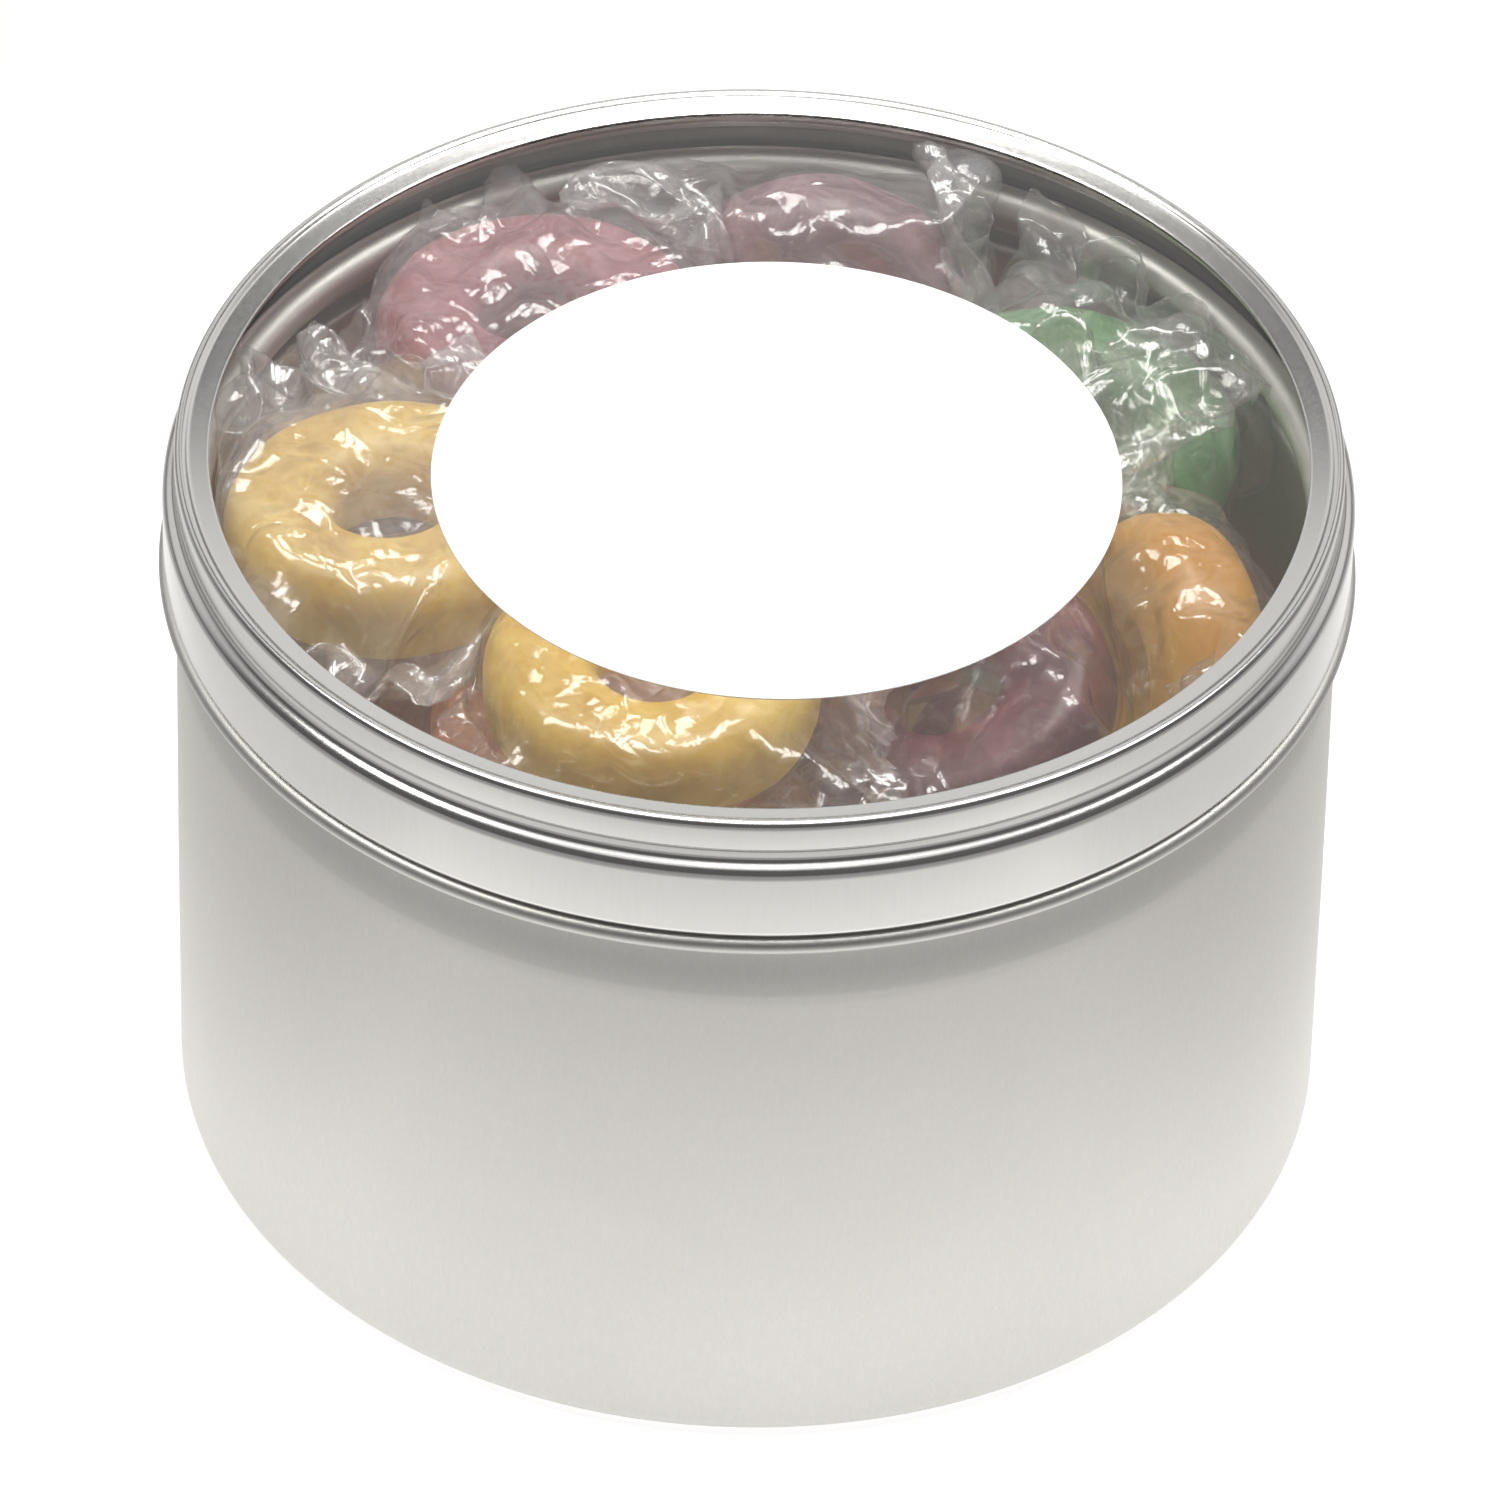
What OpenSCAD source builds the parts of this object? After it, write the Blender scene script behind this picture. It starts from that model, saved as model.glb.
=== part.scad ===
// Round slip-lid tin with a clear window in the lid and a blank round label,
// filled with individually wrapped ring-shaped hard candies.
// Millimetres, +Z up. The origin is the middle of the base, on the surface
// that the tin stands on. The side of the tin that faces -Y is its front.

/* [Tin] */
// Outer radius of the lid's skirt
lid_r = 41.5; // [41:0.1:42]
// Outer radius of the can's wall just above the base
base_r = 41.05; // [40.8:0.05:41.2]
// Outer radius of the can's wall just below the cove
wall_r = 40.7; // [40.5:0.05:40.9]
// Thickness of the can's and the lid's sheet
sheet = 0.3; // [0.25:0.01:0.34]
// Radius of the can's rolled rim, seen in section
roll_r = 1.3; // [1.2:0.05:1.4]

/* [Lid] */
// Radius of the window's opening
window_r = 38.2; // [38:0.1:38.6]
// Thickness of the clear window
pane_t = 0.3; // [0.2:0.05:0.4]
// Radius of the round label
label_r = 23.9; // [10:0.1:30]
// Thickness of the label
label_t = 0.12; // [0.08:0.02:0.2]

/* [Candy] */
// Outer radius of a ring candy
candy_r = 11.7; // [11:0.1:11.8]
// Radius of its hole
hole_r = 3.8; // [3:0.1:4.2]
// Thickness of a ring candy
candy_t = 7.6; // [7:0.1:7.7]
// Rounding of the ring's edges, seen in section
candy_edge = 2.9; // [2:0.1:3]
// Room between a candy and the inside of its wrapper
film_gap = 0.15; // [0.1:0.01:0.17]
// Thickness of the wrapper's film, drawn thicker than real film
film_t = 0.12; // [0.08:0.01:0.15]

/* [Packing of the candies] */
// Candies in a ring of a full lower layer
ring_count = 6; // [5:1:6]
// Radius of that ring
ring_pitch = 26.5; // [26:0.1:27]
// Height of a layer
layer_h = 9; // [8.8:0.1:9]
// Height of the first layer's middle above the base
first_h = 5.2; // [5.2:0.05:5.3]

/* [Hidden] */
fine = 128;
metal = [0.78, 0.78, 0.77];
film = [0.93, 0.93, 0.94, 0.35];

// Heights of the tin's features
pane_top = 55.5;      // upper face of the window
bead_z = 46.1;        // widest point of the can's bead
roll_z = 50;          // middle of the can's rolled rim
skirt_z = 46.95;      // lower edge of the lid's skirt
cove_z = 40.05;       // where the wall meets the cove
fillet = 1.4;         // rounding between wall and base
panel_r = 36.6;       // radius of the base's raised panel
panel_z = 0.4;        // how far the panel is raised

// Points of an arc in the section, from angle a0 to a1
function arc(cx, cz, r, a0, a1, n) =
    [for (i = [0:n]) let (a = a0 + (a1 - a0) * i / n) [cx + r * cos(a), cz + r * sin(a)]];

// ---- can ----
neck_r = lid_r - sheet - 0.2;          // the neck's outside, with a slip fit in the skirt's curled edge
roll_c = [neck_r - 0.1 - roll_r, roll_z]; // middle of the rolled rim

// Section of the can's outside, from the middle of the base up to the neck
can_out = concat(
    [[0, panel_z], [panel_r, panel_z], [panel_r + 0.7, 0], [base_r - fillet, 0]],
    arc(base_r - fillet, fillet, fillet, -72, 0, 6),
    [[(base_r + wall_r) / 2 + 0.05, 20], [wall_r, cove_z],
     [wall_r - 0.04, 40.9], [wall_r - 0.15, 41.8], [wall_r - 0.3, 42.7], [wall_r - 0.45, 43.6],
     [wall_r - 0.55, 44.3], [wall_r - 0.58, 44.8], [wall_r - 0.5, 45.15], [wall_r - 0.25, 45.35]],
    arc(lid_r - 0.28, bead_z, 0.62, -110, 75, 12),
    [[neck_r, 46.82]]);
// The same line one sheet further in, walked back down
can_in = concat(
    [[neck_r - sheet, 46.6]],
    arc(lid_r - 0.28, bead_z, 0.32, 75, -110, 8),
    [[wall_r - 0.3, 45.66], [wall_r - 0.64, 45.5], [wall_r - 0.84, 45.1], [wall_r - 0.88, 44.7],
     [wall_r - 0.85, 44.2], [wall_r - 0.75, 43.5], [wall_r - 0.6, 42.6], [wall_r - 0.45, 41.7], [wall_r - 0.34, 40.85],
     [wall_r - sheet, cove_z], [(base_r + wall_r) / 2 + 0.05 - sheet, 20],
     [base_r - sheet, fillet], [base_r - sheet - 0.3, 0.62], [base_r - fillet, sheet],
     [panel_r + 0.9, sheet], [panel_r + 0.2, panel_z + sheet], [0, panel_z + sheet]]);
// The rolled rim: a curl in section, open where the sheet's edge comes back to the neck
rim_out = arc(roll_c[0], roll_c[1], roll_r, 20, 300, 24);
rim_in = arc(roll_c[0], roll_c[1], roll_r - sheet, 300, 20, 24);

module can_body() {
    color(metal) rotate_extrude($fn = fine)
        polygon(concat(can_out, [[neck_r, roll_c[1] + 0.2]], rim_out, rim_in,
            [[neck_r - sheet, roll_c[1]]], can_in));
}

// ---- lid ----
// Section of the lid's outside, from the window's edge out and down to the skirt's edge
lid_out = [[window_r, 55.62], [window_r + 0.04, 55.72], [window_r + 0.14, 55.79], [window_r + 0.35, 55.83],
    [39.52, 55.85], [39.7, 55.92], [39.84, 56.07], [40.03, 56.18], [40.27, 56.19], [40.43, 56.12],
    [40.54, 55.98], [40.6, 55.82], [40.62, 55.65],
    [40.62, 54.0], [40.58, 53.9], [40.62, 53.8], [40.62, 53.3], [40.66, 53.12], [40.76, 52.98],
    [40.9, 52.88], [41.08, 52.78], [41.24, 52.66], [41.38, 52.48], [41.46, 52.28], [lid_r, 52.0],
    [lid_r, 47.35], [lid_r - 0.03, 47.15], [lid_r - 0.09, 47.0], [lid_r - 0.14, skirt_z]];
// The same line one sheet further in, walked back up
lid_in = [[lid_r - 0.4, skirt_z + 0.02], [lid_r - 0.34, 47.15], [lid_r - sheet, 47.4],
    [lid_r - sheet, 51.95], [41.16, 52.17], [41.08, 52.35], [40.96, 52.48], [40.78, 52.57],
    [40.6, 52.68], [40.45, 52.81], [40.36, 52.99], [40.32, 53.2],
    [40.32, 55.4], [40.25, pane_top], [window_r + 0.06, pane_top], [window_r, 55.54]];

module lid_shell() {
    color(metal) rotate_extrude($fn = fine) polygon(concat(lid_out, lid_in));
}

// The clear disc under the lid's flange
module window_pane() {
    color([0.9, 0.93, 0.95, 0.3]) translate([0, 0, pane_top - pane_t]) cylinder(h = pane_t, r = 40.2, $fn = fine);
}

// The pressed ring that holds the window up: a flat lip and a wall
module window_retainer() {
    color(metal) rotate_extrude($fn = fine)
        polygon([[window_r + 0.25, pane_top - pane_t], [window_r + 0.25, pane_top - pane_t - 0.28], [39.75, pane_top - pane_t - 0.28],
            [39.92, pane_top - pane_t - 0.45], [39.92, 53.15], [40.02, 53.05], [40.2, 53.05],
            [40.2, pane_top - pane_t]]);
}

// The blank label on the window, a little off the middle as it was stuck on
module label_disc() {
    color("white") translate([1.2, -3, pane_top]) cylinder(h = label_t, r = label_r, $fn = fine);
}

// ---- candies and wrappers ----
// Section of a ring candy
candy_section = concat(
    arc(candy_r - candy_edge, candy_t / 2 - candy_edge, candy_edge, 0, 90, 6),
    arc(hole_r + candy_edge, candy_t / 2 - candy_edge, candy_edge, 90, 180, 6),
    arc(hole_r + candy_edge, candy_edge - candy_t / 2, candy_edge, 180, 270, 6),
    arc(candy_r - candy_edge, candy_edge - candy_t / 2, candy_edge, 270, 360, 6));

module ring_candy(c) {
    color(c) rotate_extrude($fn = fine) polygon(candy_section);
}

// A closed pouch of film, this much bigger than the candy all round
module pouch(grow) {
    r = candy_r + grow - candy_edge;
    h = candy_t / 2 + grow;
    rotate_extrude($fn = fine) polygon(concat([[0, -h]],
        arc(r, candy_edge - h, candy_edge, -90, 0, 6), arc(r, h - candy_edge, candy_edge, 0, 90, 6), [[0, h]]));
}
module wrapper() {
    color(film) difference() { pouch(film_gap + film_t); pouch(film_gap); }
}

// Places one piece: middle, then the turns about X, Y and Z
module at(place) {
    translate([place[0], place[1], place[2]]) rotate([place[3], place[4], place[5]]) children();
}
// Places a full layer: a ring of pieces and one in the middle, turned by a
module layer(n, a) {
    z = first_h + (n - 1) * layer_h;
    for (i = [0:ring_count - 1]) rotate(a + i * 360 / ring_count) translate([ring_pitch, 0, z]) children();
    translate([0, 0, z]) children();
}
turns = [0, 30, 12]; // how far each full layer is turned

yellow = [0.85, 0.72, 0.35];
orange = [0.85, 0.42, 0.18];
amber = [0.7, 0.5, 0.22];
purple = [0.36, 0.14, 0.2];
mauve = [0.52, 0.32, 0.36];
red = [0.72, 0.25, 0.24];
green = [0.35, 0.6, 0.3];

// Where the upper candies lie, by hand from what shows through the window
yellow_front = [-7, -19, 50.2, 4, 0, 0];
yellow_right = [28.3, -8.2, 42.3, 0, -77, 19];
purple_front = [13.6, -13, 43.8, 14, -16, 0];
orange_front = [-10.8, -14, 40.8, 0, 0, 0];
yellow_left = [-25.5, -3, 50, 0, -2, 0];
amber_left = [-26.7, 8.6, 40.8, 0, 0, 0];
orange_middle = [-2.6, 10.2, 40.9, 0, 0, 0];
red_left = [-16, 19.5, 49.6, -2, -2, 0];
mauve_back = [4, 29.2, 43, 76, 0, -4];
green_right = [22.6, 15.4, 45, 0, 10, 0];
green_low = [21, 15.5, 32.2, 0, 0, 0];
red_low = [-25.3, 7.7, 32.2, 0, 0, 0];
yellow_low = [-19.4, -18.1, 32.2, 0, 0, 0];
amber_low = [6, -25.8, 32.2, 0, 0, 0];
orange_low = [-1, 0, 32.2, 0, 0, 0];

can_body();
lid_shell();
window_pane();
window_retainer();
label_disc();
at(yellow_front) ring_candy(yellow);  // candy_yellow_front
at(yellow_right) ring_candy(yellow);  // candy_yellow_right
at(purple_front) ring_candy(purple);  // candy_purple_front
at(orange_front) ring_candy(orange);  // candy_orange_front
at(yellow_left) ring_candy(yellow);  // candy_yellow_left
at(amber_left) ring_candy(amber);  // candy_amber_left
at(orange_middle) ring_candy(orange);  // candy_orange_middle
at(red_left) ring_candy(red);  // candy_red_left
at(mauve_back) ring_candy(mauve);  // candy_mauve_back
at(green_right) ring_candy(green);  // candy_green_right
at(green_low) ring_candy(green);  // candy_green_low
at(red_low) ring_candy(red);  // candy_red_low
at(yellow_low) ring_candy(yellow);  // candy_yellow_low
at(amber_low) ring_candy(amber);  // candy_amber_low
at(orange_low) ring_candy(orange);  // candy_orange_low
layer(1, turns[0]) ring_candy(yellow);  // candies_layer_1
layer(2, turns[1]) ring_candy(red);  // candies_layer_2
layer(3, turns[2]) ring_candy(orange);  // candies_layer_3
at(yellow_front) wrapper();  // wrapper_yellow_front
at(yellow_right) wrapper();  // wrapper_yellow_right
at(purple_front) wrapper();  // wrapper_purple_front
at(orange_front) wrapper();  // wrapper_orange_front
at(yellow_left) wrapper();  // wrapper_yellow_left
at(amber_left) wrapper();  // wrapper_amber_left
at(orange_middle) wrapper();  // wrapper_orange_middle
at(red_left) wrapper();  // wrapper_red_left
at(mauve_back) wrapper();  // wrapper_mauve_back
at(green_right) wrapper();  // wrapper_green_right
at(green_low) wrapper();  // wrapper_green_low
at(red_low) wrapper();  // wrapper_red_low
at(yellow_low) wrapper();  // wrapper_yellow_low
at(amber_low) wrapper();  // wrapper_amber_low
at(orange_low) wrapper();  // wrapper_orange_low
layer(1, turns[0]) wrapper();  // wrappers_layer_1
layer(2, turns[1]) wrapper();  // wrappers_layer_2
layer(3, turns[2]) wrapper();  // wrappers_layer_3
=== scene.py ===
import math

import bpy
import numpy as np
from mathutils import Matrix, Vector


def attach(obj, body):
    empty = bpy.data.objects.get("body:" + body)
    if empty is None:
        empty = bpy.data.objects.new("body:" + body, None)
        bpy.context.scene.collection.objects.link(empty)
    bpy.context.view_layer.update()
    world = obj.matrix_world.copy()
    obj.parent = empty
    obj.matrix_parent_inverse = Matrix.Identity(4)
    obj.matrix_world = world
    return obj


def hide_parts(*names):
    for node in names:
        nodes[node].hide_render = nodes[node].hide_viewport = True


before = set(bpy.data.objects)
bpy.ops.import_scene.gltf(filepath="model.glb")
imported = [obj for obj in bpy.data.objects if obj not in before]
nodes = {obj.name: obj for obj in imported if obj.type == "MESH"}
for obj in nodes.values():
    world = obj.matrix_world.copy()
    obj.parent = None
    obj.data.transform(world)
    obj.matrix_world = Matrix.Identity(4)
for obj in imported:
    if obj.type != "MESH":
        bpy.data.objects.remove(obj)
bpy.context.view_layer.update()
scene = bpy.context.scene
MM = 0.001

# ------------------------------------------------------------------ measures, in millimetres, as in the CAD
LID_R, BASE_R, WALL_R, SHEET = 41.5, 41.05, 40.7, 0.3
ROLL_R, PANEL_R, PANEL_Z, FILLET = 1.3, 36.6, 0.4, 1.4
WINDOW_R, PANE_TOP, PANE_T = 38.2, 55.5, 0.3
LABEL_R, LABEL_T, LABEL_AT = 23.9, 0.12, (1.2, -3.0)
BEAD_Z, SKIRT_Z, COVE_Z, ROLL_Z = 46.1, 46.95, 40.05, 50.0
NECK_R = LID_R - SHEET - 0.2
ROLL_C = (NECK_R - 0.1 - ROLL_R, ROLL_Z)
CANDY_R, HOLE_R, CANDY_T, CANDY_EDGE = 11.7, 3.8, 7.6, 2.9


def arc(cx, cz, r, a0, a1, n):
    return [
        (cx + r * math.cos(math.radians(a0 + (a1 - a0) * i / n)), cz + r * math.sin(math.radians(a0 + (a1 - a0) * i / n)))
        for i in range(n + 1)
    ]


# ------------------------------------------------------------------ mesh helpers
def softened(points, reach=0.16, low=3.0, high=62.0, closed=False):
    """Rounds the bends of a section a little, and puts support points beside them. Bends sharper than high stay sharp."""
    out, sharp = [], []
    n = len(points)
    for i, p in enumerate(points):
        if not closed and i in (0, n - 1):
            out.append(p)
            sharp.append(False)
            continue
        a, b = points[i - 1], points[(i + 1) % n]
        d0 = (a[0] - p[0], a[1] - p[1])
        d1 = (b[0] - p[0], b[1] - p[1])
        l0, l1 = math.hypot(*d0), math.hypot(*d1)
        turn = 180 - math.degrees(math.acos(max(-1, min(1, (d0[0] * d1[0] + d0[1] * d1[1]) / (l0 * l1)))))
        if turn < low and max(l0, l1) < 6:
            out.append(p)
            sharp.append(False)
        elif turn > high:
            out.append(p)
            sharp.append(True)
        else:
            r = min(0.42 * l0, 0.42 * l1, reach)
            q0 = (p[0] + d0[0] / l0 * r, p[1] + d0[1] / l0 * r)
            q1 = (p[0] + d1[0] / l1 * r, p[1] + d1[1] / l1 * r)
            mid = (0.25 * q0[0] + 0.5 * p[0] + 0.25 * q1[0], 0.25 * q0[1] + 0.5 * p[1] + 0.25 * q1[1])
            out += [q0, mid, q1]
            sharp += [False] * 3
    return out, sharp


def new_object(name, verts, faces, smooth=True, sharp_edges=None):
    mesh = bpy.data.meshes.new(name)
    mesh.from_pydata([tuple(v) for v in verts], [], faces)
    mesh.update()
    if smooth:
        mesh.polygons.foreach_set("use_smooth", [True] * len(mesh.polygons))
    if sharp_edges:
        att = mesh.attributes.new("sharp_edge", "BOOLEAN", "EDGE")
        flags = np.zeros(len(mesh.edges), bool)
        keys = {}
        pairs = np.zeros(len(mesh.edges) * 2, np.int64)
        mesh.edges.foreach_get("vertices", pairs)
        pairs = np.sort(pairs.reshape(-1, 2), axis=1)
        want = {tuple(sorted(e)) for e in sharp_edges}
        for i, e in enumerate(map(tuple, pairs)):
            if e in want:
                flags[i] = True
        att.data.foreach_set("value", flags)
    obj = bpy.data.objects.new(name, mesh)
    scene.collection.objects.link(obj)
    return obj


def lathe(name, points, closed=True, n=360, soften=True, reach=0.16, centre=(0, 0)):
    """A turned body about Z from a section of (radius, height) points in mm."""
    if soften:
        pts, sharp = softened(points, reach=reach, closed=closed)
    else:
        pts, sharp = list(points), [False] * len(points)
    verts, rows = [], []
    ang = np.arange(n) * 2 * math.pi / n
    ca, sa = np.cos(ang), np.sin(ang)
    for r, z in pts:
        if r < 1e-6:
            rows.append([len(verts)] * n)
            verts.append((centre[0] * MM, centre[1] * MM, z * MM))
        else:
            start = len(verts)
            rows.append(list(range(start, start + n)))
            verts += [((centre[0] + r * c) * MM, (centre[1] + r * s) * MM, z * MM) for c, s in zip(ca, sa)]
    faces, m = [], len(pts)
    for i in range(m if closed else m - 1):
        a, b = rows[i], rows[(i + 1) % m]
        for k in range(n):
            k2 = (k + 1) % n
            f = [a[k], a[k2], b[k2], b[k]]
            f = [v for j, v in enumerate(f) if v not in f[:j]]
            if len(f) > 2:
                faces.append(f)
    sharp_edges = [(rows[i][k], rows[i][(k + 1) % n]) for i in range(m) if sharp[i] and rows[i][0] != rows[i][1] for k in range(n)]
    obj = new_object(name, verts, faces, True, sharp_edges)
    # outside faces out
    import bmesh

    bm = bmesh.new()
    bm.from_mesh(obj.data)
    bmesh.ops.recalc_face_normals(bm, faces=bm.faces)
    bm.to_mesh(obj.data)
    bm.free()
    return obj


def rotation(rx, ry, rz):
    return (
        Matrix.Rotation(math.radians(rz), 3, "Z") @ Matrix.Rotation(math.radians(ry), 3, "Y") @ Matrix.Rotation(math.radians(rx), 3, "X")
    )


# ------------------------------------------------------------------ material helpers
class Tree:
    def __init__(self, material):
        material.use_nodes = True
        self.t = material.node_tree
        self.t.nodes.clear()

    def add(self, kind, props=None, **inputs):
        node = self.t.nodes.new("ShaderNode" + kind)
        for k, v in (props or {}).items():
            setattr(node, k, v)
        for k, v in inputs.items():
            self.set(node, k.replace("_", " "), v)
        return node

    def set(self, node, key, v):
        sock = node.inputs[int(key)] if key.isdigit() else node.inputs[key]
        if isinstance(v, bpy.types.NodeSocket):
            self.t.links.new(v, sock)
        elif isinstance(v, bpy.types.Node):
            self.t.links.new(v.outputs[0], sock)
        else:
            sock.default_value = v
        return node

    def math(self, op, a, b=0.0, clamp=False):
        node = self.t.nodes.new("ShaderNodeMath")
        node.operation = op
        node.use_clamp = clamp
        for i, v in enumerate((a, b)):
            if isinstance(v, (bpy.types.NodeSocket, bpy.types.Node)):
                self.t.links.new(v if isinstance(v, bpy.types.NodeSocket) else v.outputs[0], node.inputs[i])
            else:
                node.inputs[i].default_value = v
        return node.outputs[0]

    def coords(self, scale=(1000, 1000, 1000), rot=(0, 0, 0), loc=(0, 0, 0)):
        tc = self.t.nodes.new("ShaderNodeTexCoord")
        mp = self.t.nodes.new("ShaderNodeMapping")
        mp.inputs["Scale"].default_value = scale
        mp.inputs["Rotation"].default_value = [math.radians(a) for a in rot]
        mp.inputs["Location"].default_value = loc
        self.t.links.new(tc.outputs["Object"], mp.inputs["Vector"])
        return mp.outputs[0]

    def noise(self, vector, scale, detail=4.0, rough=0.5, distortion=0.0):
        node = self.t.nodes.new("ShaderNodeTexNoise")
        node.noise_dimensions = "3D"
        self.t.links.new(vector, node.inputs["Vector"])
        node.inputs["Scale"].default_value = scale
        node.inputs["Detail"].default_value = detail
        node.inputs["Roughness"].default_value = rough
        node.inputs["Distortion"].default_value = distortion
        return node.outputs["Fac"]

    def ramp(self, fac, stops, interp="LINEAR"):
        node = self.t.nodes.new("ShaderNodeValToRGB")
        node.color_ramp.interpolation = interp
        els = node.color_ramp.elements
        while len(els) < len(stops):
            els.new(0.5)
        for e, (p, c) in zip(els, stops):
            e.position = p
            e.color = (*c, 1) if len(c) == 3 else c
        self.t.links.new(fac, node.inputs["Fac"])
        return node.outputs["Color"]

    def maprange(self, v, a, b, c, d):
        node = self.t.nodes.new("ShaderNodeMapRange")
        self.t.links.new(v, node.inputs["Value"])
        for k, x in zip(("From Min", "From Max", "To Min", "To Max"), (a, b, c, d)):
            node.inputs[k].default_value = x
        return node.outputs["Result"]

    def mixcolor(self, fac, a, b, blend="MIX"):
        node = self.t.nodes.new("ShaderNodeMix")
        node.data_type = "RGBA"
        node.blend_type = blend
        ins = {s.identifier: s for s in node.inputs}
        for s, v in ((ins["Factor_Float"], fac), (ins["A_Color"], a), (ins["B_Color"], b)):
            if isinstance(v, bpy.types.NodeSocket):
                self.t.links.new(v, s)
            else:
                s.default_value = v if not isinstance(v, tuple) or len(v) == 4 else (*v, 1)
        return {s.identifier: s for s in node.outputs}["Result_Color"]

    def bump(self, height, strength, distance, normal=None):
        node = self.t.nodes.new("ShaderNodeBump")
        self.t.links.new(height, node.inputs["Height"])
        node.inputs["Strength"].default_value = strength
        node.inputs["Distance"].default_value = distance
        if normal is not None:
            self.t.links.new(normal, node.inputs["Normal"])
        return node.outputs["Normal"]

    def out(self, shader):
        node = self.t.nodes.new("ShaderNodeOutputMaterial")
        self.t.links.new(shader.outputs[0] if isinstance(shader, bpy.types.Node) else shader, node.inputs["Surface"])


def material(name):
    m = bpy.data.materials.new(name)
    return m, Tree(m)


def metal_material(name, rough, tint, stretch, grain=1.0, vary=0.05):
    """Satin tinplate: a fine short grain, stretched along the height by stretch, soft cloudy patches."""
    m, t = material(name)
    up = t.noise(t.coords((1000, 1000, 1000 / stretch)), 4.5, 3.0, 0.62)
    slant1 = t.noise(t.coords((1000, 1000, 260), rot=(0, 32, 20)), 2.6, 3.0, 0.62)
    slant2 = t.noise(t.coords((1000, 1000, 260), rot=(24, -38, 0)), 2.6, 3.0, 0.62)
    fine = t.noise(t.coords(), 9.0, 2.0, 0.6)
    cloud = t.noise(t.coords(), 0.05, 4.0, 0.55, 0.4)
    mix = t.math("ADD", t.math("MULTIPLY", up, 0.34), t.math("MULTIPLY", t.math("ADD", slant1, slant2), 0.2))
    mix = t.math("ADD", mix, t.math("MULTIPLY", fine, 0.26))
    shade = t.maprange(mix, 0.36, 0.64, 1 - vary, 1 + vary)
    shade = t.math("MULTIPLY", shade, t.maprange(cloud, 0.3, 0.7, 0.98, 1.015))
    color = t.mixcolor(1.0, tint, shade, "MULTIPLY")
    rgh = t.maprange(mix, 0.36, 0.64, rough - 0.03, rough + 0.03)
    normal = t.bump(mix, 0.22 * grain, 0.00004)
    p = t.add("BsdfPrincipled", Metallic=1.0)
    t.set(p, "Base Color", color)
    t.set(p, "Roughness", rgh)
    t.set(p, "Normal", normal)
    t.out(p)
    return m


mat_can = metal_material("can_metal_satin", 0.50, (0.74, 0.727, 0.70), 3, vary=0.048)
mat_lid = metal_material("lid_metal_satin", 0.21, (0.86, 0.85, 0.83), 14, grain=0.12, vary=0.028)


def label_material():
    m, t = material("label_paper_white")
    fibre = t.noise(t.coords((1000, 1000, 1000)), 3.0, 5.0, 0.65)
    color = t.ramp(fibre, [(0.3, (0.93, 0.93, 0.93)), (0.7, (0.955, 0.955, 0.955))])
    p = t.add("BsdfPrincipled", Roughness=0.55)
    t.set(p, "Base Color", color)
    t.set(p, "Normal", t.bump(fibre, 0.1, 0.00002))
    t.out(p)
    return m


def clear_material(name, tint, gloss_rough, ior, haze=0.0, haze_color=(1, 1, 1), bump=None):
    """Thin clear plastic: see-through, with a mirror share that grows at grazing angles and a trace of white haze."""
    m, t = material(name)
    normal = None
    if bump:
        # sharp creases between flat facets, with a softer ripple over them
        crease = t.noise(t.coords(), bump[0], 1.5, 0.5, 0.6)
        crease = t.math("ABSOLUTE", t.math("SUBTRACT", crease, 0.5))
        cross = t.noise(t.coords((1000, 1000, 1000), rot=(40, 25, 10), loc=(5, 3, 9)), bump[0] * 1.9, 1.0, 0.5, 0.4)
        cross = t.math("ABSOLUTE", t.math("SUBTRACT", cross, 0.5))
        ripple = t.noise(t.coords(), 0.9, 2.0, 0.5)
        h = t.math("ADD", crease, t.math("ADD", t.math("MULTIPLY", cross, 0.4), t.math("MULTIPLY", ripple, 0.03)))
        normal = t.bump(h, bump[1], bump[2])
    clear = t.add("BsdfTransparent", Color=(*tint, 1))
    gloss = t.add("BsdfGlossy")
    gr = t.maprange(t.noise(t.coords(), 0.9, 3.0, 0.5), 0.3, 0.7, gloss_rough * 0.7, gloss_rough * 1.3)
    t.set(gloss, "Roughness", gr)
    facing = t.add("LayerWeight", Blend=0.5)
    if normal is not None:
        t.set(gloss, "Normal", normal)
        t.set(facing, "Normal", normal)
    f0 = ((ior - 1) / (ior + 1)) ** 2
    fres = t.math("MULTIPLY", t.math("POWER", facing.outputs["Facing"], 4.0), 1 - f0)
    fres = t.math("ADD", fres, f0, clamp=True)
    if bump:
        fres = t.math("MINIMUM", fres, 0.34)
    body = clear
    if haze:
        dif = t.add("BsdfDiffuse", Color=(*haze_color, 1))
        body = t.add("MixShader")
        body.inputs[0].default_value = haze
        t.t.links.new(clear.outputs[0], body.inputs[1])
        t.t.links.new(dif.outputs[0], body.inputs[2])
    mix = t.add("MixShader")
    t.t.links.new(fres, mix.inputs[0])
    t.t.links.new(body.outputs[0], mix.inputs[1])
    t.t.links.new(gloss.outputs[0], mix.inputs[2])
    t.out(mix)
    return m


mat_label = label_material()
mat_pane = clear_material("clear_window_plastic", (0.985, 0.985, 0.98), 0.05, 1.6)
mat_film = clear_material("wrapper_film_clear", (0.98, 0.975, 0.972), 0.15, 2.05, haze=0.105, haze_color=(0.94, 0.92, 0.94), bump=(0.13, 0.7, 0.0034))
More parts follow.
